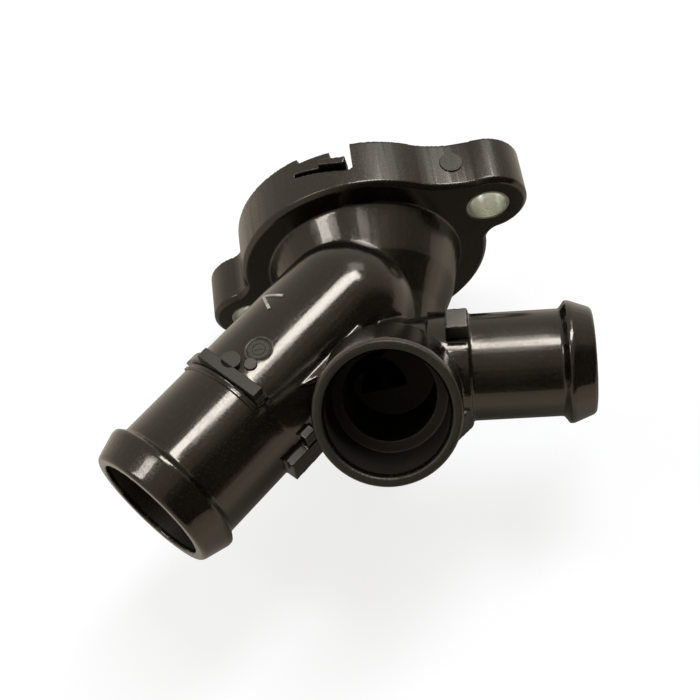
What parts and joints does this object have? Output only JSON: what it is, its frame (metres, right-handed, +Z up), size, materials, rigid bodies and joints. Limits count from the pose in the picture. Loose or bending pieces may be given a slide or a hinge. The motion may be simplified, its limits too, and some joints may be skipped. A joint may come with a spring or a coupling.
{
  "type": "engine coolant housing",
  "caption": "Black moulded coolant housing with a round flange on bolt ears, an elbow to a large hose spigot, a smaller side spigot, a plug-in socket and a wax valve insert.",
  "frame": {"origin": "centre of the flange's rear face, midway between the bolt holes", "axes": "+Y along the flange axis into the engine, +X towards the small spigot's side, +Z up, out of the plane of the hose spigots"},
  "size_m": [0.1003, 0.0809, 0.0722],
  "materials": {
    "black_nylon": "moulded black glass-filled nylon with a soft gloss",
    "sleeve_steel": "zinc-plated sleeve",
    "carrier_plastic": "moulded black plastic",
    "seal_rubber": "black rubber",
    "bright_steel": "bright steel",
    "capsule_brass": "turned brass",
    "spring_steel": "drawn spring wire"
  },
  "bodies": {
    "root": {"housing": "black_nylon", "sleeve_right": "sleeve_steel", "sleeve_left": "sleeve_steel", "carrier": "carrier_plastic", "face_seal": "seal_rubber", "shoulder_seal": "seal_rubber", "pin": "bright_steel", "stirrup": "bright_steel", "spring": "spring_steel"},
    "valve": {"capsule": "capsule_brass", "valve_disc": "bright_steel", "valve_ring": "seal_rubber"}
  },
  "joints": [
    {"name": "valve_slide", "type": "slide", "parent": "root", "child": "valve", "axis": [0, -1, 0], "range_m": [0, 0.0045], "stiffness_N_per_m": 4000, "springref_m": -0.012, "deforming": ["spring"]}
  ]
}
